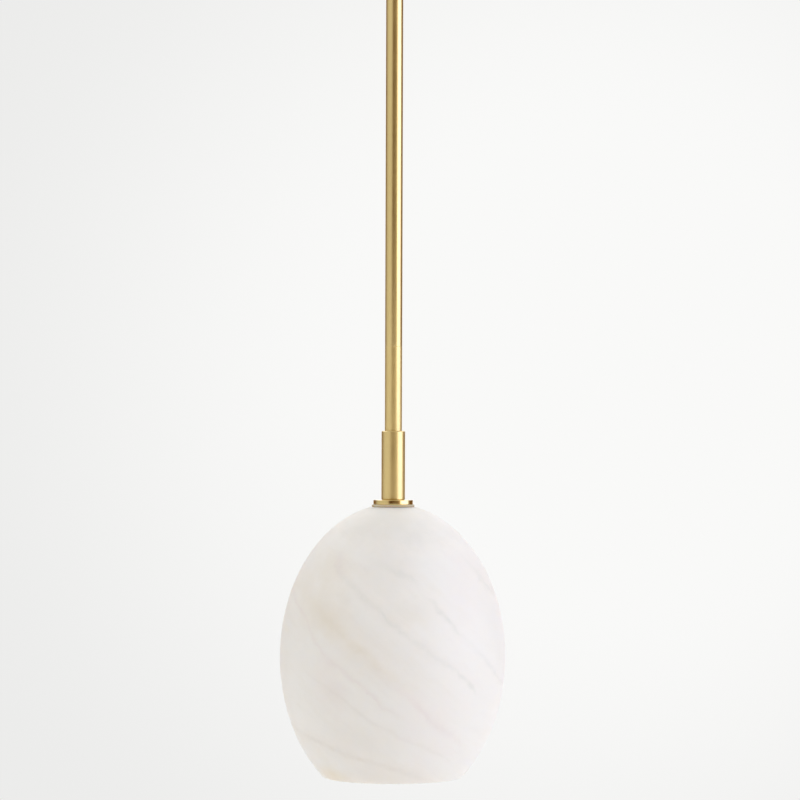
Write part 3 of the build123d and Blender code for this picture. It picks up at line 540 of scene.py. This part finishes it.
def makeChips():
    # a yellow window in a white case, repeated up the board
    material, tree, shader = newMaterial("ledChips", chipLook["plain"])
    low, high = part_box("led_chips")
    pitch = (high.z - low.z - chipLook["size"]) / (chipLook["rows"] - 1)
    place = objectPlace(tree, (0, 0, low.z + chipLook["size"] / 2))
    axes = put(tree, "SeparateXYZ", {0: place}).outputs
    row = maths(tree, "MULTIPLY", axes[2], 1 / pitch)
    offset = maths(tree, "MULTIPLY", maths(tree, "SUBTRACT", row, maths(tree, "ROUND", row)), pitch)
    reach = maths(tree, "MAXIMUM", maths(tree, "ABSOLUTE", offset), maths(tree, "ABSOLUTE", axes[0]))
    lens = chipLook["lens"]
    window = spread(tree, reach, lens, lens + chipLook["lensEdge"], 1.0, 0.0)
    tone = mixed(tree, window, chipLook["case"], chipLook["phosphor"])
    marks = use(tree, handling, place, Size=900.0)
    feed(tree, shader, tone, spread(tree, marks["Patches"], 0.0, 1.0, 0.22, 0.36))
    bumped(tree, shader, window, 0.3, 0.08 * mm)
    return material


brasses = {name: makeBrass(name, kind) for name, kind in brassKinds.items()}
finishes = {
    "brass": brasses["satinBrass"],
    "zinc_steel": makeZinc(),
    "green_screw": makeGreenScrew(),
    "pin_wire": makePinWire(),
    "alabaster": makeAlabaster(),
    "lead_insulation": makeLeadInsulation(),
    "led_phosphor": makeChips(),
}
for slotName, softLook in softLooks.items():
    finishes[slotName] = makeSoftFinish(slotName, softLook)


def finishOf(node):
    return brasses[brassOf[node]] if node in brassOf else finishes[slotOf[node]]


for nodeName, node in cadNodes.items():
    node.data.materials.clear()
    node.data.materials.append(finishOf(nodeName))
print("finishes:", len(finishes))


# surfaces

def unit(vector):
    return vector / np.linalg.norm(vector)


def outline(corners, arcSteps=7):
    # closed outline of (radius, height, rounding): each rounding is the arc that touches both sides
    # of its corner, swept evenly from one touching point to the other
    pieces = []
    for index, (r, z, rounding) in enumerate(corners):
        corner = np.array((r, z), float)
        if rounding == 0:
            pieces.append(corner[None])
            continue
        before = unit(np.array(corners[index - 1][:2]) - corner)
        after = unit(np.array(corners[(index + 1) % len(corners)][:2]) - corner)
        half = np.arccos(np.clip(before @ after, -1, 1)) / 2
        centre = corner + unit(before + after) * rounding / sin(half)
        start = corner + before * rounding / tan(half) - centre
        end = corner + after * rounding / tan(half) - centre
        turn = pi - 2 * half
        t = np.linspace(0, 1, arcSteps)[:, None]
        pieces.append(centre + (np.sin((1 - t) * turn) * start + np.sin(t * turn) * end) / sin(turn))
    return np.concatenate(pieces)


def revolved(profile, columns=120):
    # point(i, a) = (r_i cos a, r_i sin a, z_i), for each outline point i and angle a
    a = np.linspace(0, 2 * pi, columns, endpoint=False)
    r, z = profile[:, :1], profile[:, 1:]
    return np.stack([r * np.cos(a), r * np.sin(a), np.broadcast_to(z, (len(profile), columns))], -1)


def wrappedFaces(rows, columns):
    # quads between neighbours, both ways round
    i, j = np.mgrid[0:rows, 0:columns]
    nextI, nextJ = (i + 1) % rows, (j + 1) % columns
    quads = [i * columns + j, i * columns + nextJ, nextI * columns + nextJ, nextI * columns + j]
    return np.stack(quads, -1).reshape(-1, 4)


def addPiece(name, grids, node, edgeAngle=32):
    # one mesh from one or more closed grids; it stands for the CAD node and takes its finish
    vertices, faces, count = [], [], 0
    for grid in grids:
        vertices.append(grid.reshape(-1, 3))
        faces.append(wrappedFaces(*grid.shape[:2]) + count)
        count += grid.shape[0] * grid.shape[1]
    mesh = bpy.data.meshes.new(name)
    mesh.from_pydata(np.concatenate(vertices).tolist(), [], np.concatenate(faces).tolist())
    skin = bmesh.new()
    skin.from_mesh(mesh)
    bmesh.ops.remove_doubles(skin, verts=skin.verts, dist=0.0001 * mm)
    alone = [edge for edge in skin.edges if not edge.link_faces]
    bmesh.ops.delete(skin, geom=alone, context="EDGES")
    bmesh.ops.recalc_face_normals(skin, faces=skin.faces)
    skin.to_mesh(mesh)
    skin.free()
    mesh.shade_smooth()
    mesh.set_sharp_from_angle(angle=radians(edgeAngle))
    mesh.materials.append(finishOf(node))
    piece = bpy.data.objects.new(name, mesh)
    bpy.context.scene.collection.objects.link(piece)
    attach(piece, cadNodes[node]["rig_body"])
    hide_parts(node)


def spanOf(node):
    low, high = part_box(node)
    return low.z, high.z


def reachOf(node):
    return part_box(node)[1].x


# alabaster shade

def ellipsePoints(radius, halfHeight, low, high, steps):
    # r = radius cos t, z = halfHeight sin t, between two heights from the centre
    t = np.linspace(np.arcsin(low / halfHeight), np.arcsin(high / halfHeight), steps)
    return [(r, z, 0) for r, z in zip(radius * np.cos(t), halfHeight * np.sin(t))]


def makeShade():
    bottom, top = spanOf("alabaster_shade")
    centre = top - stone["crown"]
    rim = bottom - centre
    seat = stone["crown"] - stone["topThickness"]
    insideRadius, insideHalf = stone["radius"] - stone["wall"], stone["halfHeight"] - stone["wall"]
    flat = stone["radius"] * sqrt(1 - (stone["crown"] / stone["halfHeight"]) ** 2)
    outerRim = stone["radius"] * sqrt(1 - (rim / stone["halfHeight"]) ** 2)
    innerRim = insideRadius * sqrt(1 - (rim / insideHalf) ** 2)
    innerFlat = insideRadius * sqrt(1 - (seat / insideHalf) ** 2)
    gap, crown, hole = stone["endGap"], stone["crown"], stone["hole"]
    corners = [(outerRim, rim, stone["rimOuter"])]
    corners += ellipsePoints(stone["radius"], stone["halfHeight"], rim + gap, crown - stone["crownGap"], 90)
    corners += [(flat, crown, 0), (hole, crown, stone["holeEdge"]), (hole, seat, 0), (innerFlat, seat, 0)]
    corners += ellipsePoints(insideRadius, insideHalf, rim + gap, seat - gap, 70)[::-1]
    corners += [(innerRim, rim, stone["rimInner"])]
    profile = outline(corners, 9)
    profile[:, 1] += centre
    addPiece("alabasterEgg", [revolved(profile, stone["columns"])], "alabaster_shade")


makeShade()


# turned pieces, each a closed outline round the stem's axis

turned = {
    "rodBore": 5.0 * mm, "rodRound": 0.5 * mm, "seamEdge": 0.15 * mm,
    "sleeveBore": 6.4 * mm, "sleeveThread": 5.0 * mm, "sleeveEdge": 0.6 * mm,
    "endRound": 0.1 * mm, "sideRound": 0.15 * mm,       # where the sleeve's bevels meet its ends and side
    "flangeBore": 5.05 * mm, "flangeEdge": 0.35 * mm,
    "gasketBore": 5.4 * mm, "gasketBulge": 0.85 * mm,
    "washerEdge": 0.25 * mm,
}


def makeRods():
    radius = reachOf("upper_rod")
    for name, node, topEdge in (("upperRod", "upper_rod", turned["rodRound"]),
                                ("lowerRod", "lower_rod", turned["seamEdge"])):
        bottom, top = spanOf(node)
        corners = [(turned["rodBore"], bottom, 0), (radius, bottom, turned["seamEdge"]),
                   (radius, top, topEdge), (turned["rodBore"], top, 0)]
        addPiece(name, [revolved(outline(corners))], node)


def makeSleeve():
    bottom, top = spanOf("neck_sleeve")
    socket = spanOf("lower_rod")[0]
    radius, edge = reachOf("neck_sleeve"), turned["sleeveEdge"]
    endRound, sideRound = turned["endRound"], turned["sideRound"]
    corners = [(turned["sleeveThread"], bottom, 0), (radius - edge, bottom, endRound),
               (radius, bottom + edge, sideRound), (radius, top - edge, sideRound),
               (radius - edge, top, endRound), (turned["sleeveBore"], top, 0),
               (turned["sleeveBore"], socket, 0), (turned["sleeveThread"], socket, 0)]
    addPiece("neckSleeve", [revolved(outline(corners))], "neck_sleeve")


def makeDiscs():
    # flat rings: (name, node, bore, rounding of the outer edges)
    rings = [("topFlange", "top_flange", turned["flangeBore"], turned["flangeEdge"]),
             ("outerGasket", "outer_gasket", turned["gasketBore"], turned["gasketBulge"]),
             ("innerGasket", "inner_gasket", turned["gasketBore"], turned["gasketBulge"]),
             ("innerWasher", "inner_washer", turned["flangeBore"], turned["washerEdge"])]
    for name, node, bore, edge in rings:
        bottom, top = spanOf(node)
        radius = reachOf(node)
        corners = [(bore, bottom, 0), (radius, bottom, edge), (radius, top, edge), (bore, top, 0)]
        addPiece(name, [revolved(outline(corners))], node)


makeRods()
makeSleeve()
makeDiscs()


# threads

thread = {
    "pitch": 1.0 * mm, "depth": 0.45 * mm, "bore": 3.5 * mm,
    "studPitch": 0.8 * mm, "studDepth": 0.38 * mm, "studColumns": 32,
    "perTurn": 8,                   # rows of points to a turn
    "steep": 1.5, "root": 0.2,      # the ridge's steepness, and how much of its foot is cut off
    "lead": 1.2 * mm,               # length of the taper at each end
    "edgeAngle": 60,
}


def threadedWall(radius, bottom, top, pitch, depth, columns):
    # r = radius - depth (1 - ridge), where ridge is a trapezium wave of (z/pitch - a/2pi), and
    # both ends taper to the root of the thread
    rows = int((top - bottom) / pitch * thread["perTurn"])
    z = np.linspace(bottom, top, rows)[:, None]
    a = np.linspace(0, 2 * pi, columns, endpoint=False)[None, :]
    phase = (z / pitch - a / (2 * pi)) % 1
    ridge = np.clip((1 - np.abs(2 * phase - 1)) * thread["steep"] - thread["root"], 0, 1)
    taper = np.clip(np.minimum(z - bottom, top - z) / thread["lead"], 0, 1)
    r = radius - depth * (1 - np.minimum(ridge, taper))
    return np.stack([r * np.cos(a), r * np.sin(a), np.broadcast_to(z, r.shape)], -1)


def threadedTube(node, bore, pitch, depth, columns=56):
    bottom, top = spanOf(node)
    wall = threadedWall(reachOf(node), bottom, top, pitch, depth, columns)
    ends = revolved(np.array([(bore, top), (bore, bottom)]), columns)
    return np.concatenate([ends[1:], wall, ends[:1]])


def makeThreads():
    for name, node in (("rodJointNipple", "rod_joint_nipple"), ("lowerRodNipple", "lower_rod_nipple"),
                       ("mainNipple", "main_nipple")):
        addPiece(name, [threadedTube(node, thread["bore"], thread["pitch"], thread["depth"])], node,
                 thread["edgeAngle"])
    # the two studs are solid: their ends close on the axis
    low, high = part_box("canopy_studs")
    radius, columns = high.x, thread["studColumns"]
    wall = threadedWall(radius, low.z, high.z, thread["studPitch"], thread["studDepth"], columns)
    axis = revolved(np.array([(0, high.z), (0, low.z)]), columns)
    stud = np.concatenate([axis[1:], wall, axis[:1]])
    offset = np.array((0, high.y - radius, 0))
    addPiece("canopyStuds", [stud + offset, stud - offset], "canopy_studs", thread["edgeAngle"])


makeThreads()


# swivel housing: a hollow threaded stud, a flange and the upper half of the ball's socket

housing = {
    "bore": 3.0 * mm, "stud": 5.0 * mm, "tube": 12.18 * mm, "socket": 10.3 * mm,        # radii
    "flat": 4.2 * mm,               # from the axis to the flat on the stud
    "flatEnd": -20.8 * mm, "threadEnd": -22.2 * mm, "face": -23.0 * mm, "ball": -37.3 * mm,     # heights
    "flange": 2.0 * mm, "topEdge": 0.2 * mm, "underEdge": 0.5 * mm,
    "columns": 96, "edgeAngle": 50,
}


def makeHousing():
    # the stud is threaded, and one side of it is cut back to a flat: x is at most the flat's distance
    bottom, top = spanOf("swivel_housing")
    low = np.arcsin((bottom - housing["ball"]) / housing["socket"])
    high = np.arccos(housing["bore"] / housing["socket"])
    t = np.linspace(low, high, 14)
    socket = [(housing["socket"] * np.cos(a), housing["ball"] + housing["socket"] * np.sin(a), 0) for a in t]
    face, under = housing["face"], housing["face"] - housing["flange"]
    radius = reachOf("swivel_housing")
    corners = [(housing["stud"], housing["threadEnd"], 0), (housing["stud"], face, 0),
               (radius, face, housing["topEdge"]), (radius, under, housing["underEdge"]),
               (housing["tube"], under, 0), (housing["tube"], bottom, 0)]
    thick = revolved(outline(corners + socket + [(housing["bore"], top, 0)]), housing["columns"])
    wall = threadedWall(housing["stud"], housing["threadEnd"], top, thread["pitch"], thread["depth"],
                        housing["columns"])
    whole = np.concatenate([wall[::-1], thick])
    cut = whole[..., 2] > housing["flatEnd"]
    whole[..., 0] = np.where(cut, np.minimum(whole[..., 0], housing["flat"]), whole[..., 0])
    addPiece("swivelHousing", [whole], "swivel_housing", housing["edgeAngle"])


makeHousing()


# wire connectors: ribbed tapers, made along +X and then turned to their places

connector = {
    "mouth": 24 * mm,               # from the stem's axis to the open end
    "length": 20 * mm, "wide": 4.5 * mm, "narrow": 2.6 * mm,
    "mouthBore": 2.4 * mm, "mouthDepth": 5 * mm, "grip": 0.82 * mm, "gripDepth": 9 * mm,
    "lipEdge": 0.15 * mm, "mouthEdge": 0.3 * mm, "tipEdge": 0.5 * mm,
    "ribs": 14, "ribDepth": 0.42 * mm, "perRib": 8,     # perRib: columns of points to a rib
    "collar": 2.2 * mm, "fadeIn": 1.0 * mm, "fadeOut": 1.5 * mm,    # plain end, and how the ribs run out
    "angles": (-30, 210),           # degrees round the stem
    "edgeAngle": 50,
}


def makeConnectors():
    # r = taper(u) - ribDepth * wave(ribs * a) * fade(u), with u along the connector from its mouth
    bottom, top = spanOf("wire_connectors")
    middle = (bottom + top) / 2
    start, length = connector["mouth"], connector["length"]
    t = np.linspace(0.02, 0.98, 26)
    slope = connector["narrow"] - connector["wide"]
    side = [(connector["wide"] + slope * s, start + length * s, 0) for s in t]
    gripEnd, mouthEnd, end = start + connector["gripDepth"], start + connector["mouthDepth"], start + length
    corners = [(0, gripEnd, 0), (connector["grip"], gripEnd, 0), (connector["grip"], mouthEnd, 0),
               (connector["mouthBore"], mouthEnd, 0), (connector["mouthBore"], start, connector["lipEdge"]),
               (connector["wide"], start, connector["mouthEdge"])] + side
    corners += [(connector["narrow"], end, connector["tipEdge"]), (0, end, 0)]
    profile = outline(corners, 5)
    columns = connector["ribs"] * connector["perRib"]
    a = np.linspace(0, 2 * pi, columns, endpoint=False)[None, :]
    r, u = profile[:, :1], profile[:, 1:]
    # only the outside is ribbed, also where the tip's rounding is narrower than the mouth's bore
    outer = r > connector["mouthBore"] + 0.1 * mm - (u > start + length * 0.9) * mm
    fade = np.clip((u - start - connector["collar"]) / connector["fadeIn"], 0, 1)
    fade = fade * np.clip((end - u) / connector["fadeOut"], 0, 1)
    wave = np.clip(0.5 - 0.9 * np.cos(connector["ribs"] * a), 0, 1)
    rib = r - connector["ribDepth"] * wave * fade * outer
    y, z = rib * np.cos(a), rib * np.sin(a)
    grids = []
    for angle in connector["angles"]:
        turn = radians(angle)
        x = np.broadcast_to(u, y.shape)
        grids.append(np.stack([x * cos(turn) - y * sin(turn), x * sin(turn) + y * cos(turn), z + middle], -1))
    addPiece("wireConnectors", grids, "wire_connectors", connector["edgeAngle"])


makeConnectors()


# lamp cover

cover = {"wall": 1.0 * mm, "lip": 0.35 * mm, "columns": 72}


def makeLampCover():
    # a tube whose end is half a sphere, inside and out: r = R cos t, z = dome - R sin t
    bottom, top = spanOf("lamp_cover")
    radius = reachOf("lamp_cover")
    dome = bottom + radius
    t = np.linspace(0, pi / 2, 20)
    outside = np.stack([radius * np.cos(t), dome - radius * np.sin(t)], -1)
    inner = radius - cover["wall"]
    inside = np.stack([inner * np.cos(t), dome - inner * np.sin(t)], -1)[::-1]
    edge = cover["lip"]
    lip = outline([(inner, top, edge), (radius, top, edge), (radius, dome, 0), (inner, dome, 0)])
    profile = np.concatenate([lip[:-2], outside, inside])
    addPiece("lampCover", [revolved(profile, cover["columns"])], "lamp_cover")


makeLampCover()


# stage, light and camera

studio = {
    "floorDrop": 2.4,               # an ordinary room's height below the ceiling
    "floorRadius": 14.0,
    "floor": colour(0.93, 0.92, 0.90),
    "floorPatch": colour(0.90, 0.89, 0.87),
    "white": colour(1.0, 1.0, 1.0),
    "warm": colour(1.0, 0.96, 0.87),
    "cool": colour(0.88, 0.905, 1.05),
    "dusk": colour(1.0, 0.5, 0.14),
    "ember": colour(1.0, 0.7, 0.4),
    "overhead": 1.58,               # brightness above, and straight up
    "zenith": 0.5,
    "leftward": 0.22,               # how much brighter the light above is on the left
    "aboveFrom": (0.32, 0.54),      # heights, as the sine of the elevation, where each takes over
    "zenithFrom": (0.65, 0.88),
    "top": 3.15,                    # brightness where the graph below reads 1
    # round the object: degrees from the camera (right positive), brightness, tone
    "round": [(-180, 0.34, "white"), (-164, 0.30, "white"), (-148, 0.08, "dusk"), (-130, 0.07, "dusk"),
              (-112, 0.15, "warm"), (-92, 0.215, "warm"), (-30, 0.2, "warm"), (-20, 0.04, "dusk"),
              (-5, 0.04, "dusk"), (18, 0.07, "ember"), (36, 0.115, "ember"), (51, 0.83, "cool"),
              (85, 0.83, "cool"), (98, 0.34, "cool"), (114, 0.07, "dusk"), (144, 0.07, "dusk"),
              (161, 0.30, "white"), (180, 0.34, "white")],
    "backdrop": (0.948, 0.838),     # seen brightness, in the middle and far out
    "brightAt": (0.055, 0, 0.01),   # the direction, seen from the camera, where the backdrop is brightest
    "fade": (0.06, 0.2),
    "backdropTone": colour(1.0, 1.0, 0.99),
}


def makeStage():
    bpy.ops.mesh.primitive_circle_add(vertices=96, radius=studio["floorRadius"], fill_type="NGON",
                                      location=(0, 0, -studio["floorDrop"]))
    floor = bpy.context.object
    floor.name = "studioFloor"
    material, tree, shader = newMaterial("paleFloor", {"Roughness": 0.8, "Specular IOR Level": 0.2})
    patches = noise(tree, objectPlace(tree), 3.0, 3.0)
    tone = mixed(tree, maths(tree, "MULTIPLY", patches, 0.06), studio["floor"], studio["floorPatch"])
    tree.links.new(tone, shader.inputs["Base Color"])
    floor.data.materials.append(material)


def makeLight():
    # a round studio: a large cool panel to the right, a weak warm one to the left, dark by the camera
    # and soft light from above; the camera itself sees only the plain backdrop
    world = bpy.data.worlds.new("softStudio")
    bpy.context.scene.world = world
    world.use_nodes = True
    tree = world.node_tree
    tree.nodes.clear()
    way = put(tree, "TexCoord").outputs["Generated"]
    axes = put(tree, "SeparateXYZ", {0: way}).outputs
    azimuth = maths(tree, "ARCTAN2", axes[0], maths(tree, "MULTIPLY", axes[1], -1.0))
    share = maths(tree, "MULTIPLY_ADD", azimuth, 1 / (2 * pi), 0.5)
    panels = curve(tree, share, [(0.5 + angle / 360, level) for angle, level, tone in studio["round"]])
    tones = put(tree, "ValToRGB", {"Fac": share})
    stops = tones.color_ramp.elements
    while len(stops) < len(studio["round"]):
        stops.new(0.5)
    for stop, (angle, level, tone) in zip(stops, studio["round"]):
        stop.position = 0.5 + angle / 360
    for stop, (angle, level, tone) in zip(stops, studio["round"]):
        stop.color = studio[tone]
    level = maths(tree, "MULTIPLY", panels, studio["top"])
    ceiling = spread(tree, axes[2], *studio["zenithFrom"], studio["overhead"], studio["zenith"])
    left = maths(tree, "MAXIMUM", maths(tree, "MULTIPLY", axes[0], -studio["leftward"]), 0.0)
    ceiling = maths(tree, "MULTIPLY", ceiling, maths(tree, "ADD", left, 1.0))
    above = spread(tree, axes[2], *studio["aboveFrom"])
    level = maths(tree, "ADD", maths(tree, "MULTIPLY", level, maths(tree, "SUBTRACT", 1.0, above)),
                  maths(tree, "MULTIPLY", above, ceiling))
    tone = mixed(tree, above, tones.outputs[0], studio["white"])
    light = put(tree, "Background", {"Color": tone, "Strength": level})
    aside = put(tree, "VectorMath", {0: way, 1: studio["brightAt"]}, operation="SUBTRACT").outputs[0]
    aside = put(tree, "VectorMath", {0: aside, 1: (1, 0, 1)}, operation="MULTIPLY").outputs[0]
    far = put(tree, "VectorMath", {0: aside}, operation="LENGTH").outputs["Value"]
    seenLevel = spread(tree, far, *studio["fade"], *studio["backdrop"])
    backdrop = put(tree, "Background", {"Color": studio["backdropTone"], "Strength": seenLevel})
    seen = put(tree, "LightPath").outputs["Is Camera Ray"]
    both = put(tree, "MixShader", {0: seen, 1: light.outputs[0], 2: backdrop.outputs[0]})
    put(tree, "OutputWorld", {0: both.outputs[0]})


view = {"distance": 2.66, "height": -0.394, "aside": 4.8 * mm, "lens": 162.6, "sensor": 36.0, "roll": 0.18,
        "farEnd": 60}


def makeCamera():
    camera = bpy.data.objects.new("productCamera", bpy.data.cameras.new("productCamera"))
    camera.data.lens = view["lens"]
    camera.data.sensor_width = view["sensor"]
    camera.data.clip_end = view["farEnd"]
    level = Matrix.Rotation(pi / 2, 4, "X") @ Matrix.Rotation(radians(view["roll"]), 4, "Z")
    camera.matrix_world = Matrix.Translation((view["aside"], -view["distance"], view["height"])) @ level
    bpy.context.scene.collection.objects.link(camera)
    bpy.context.scene.camera = camera


makeStage()
makeLight()
makeCamera()
bpy.context.scene.view_settings.view_transform = "Standard"
print("stage, light and camera set")
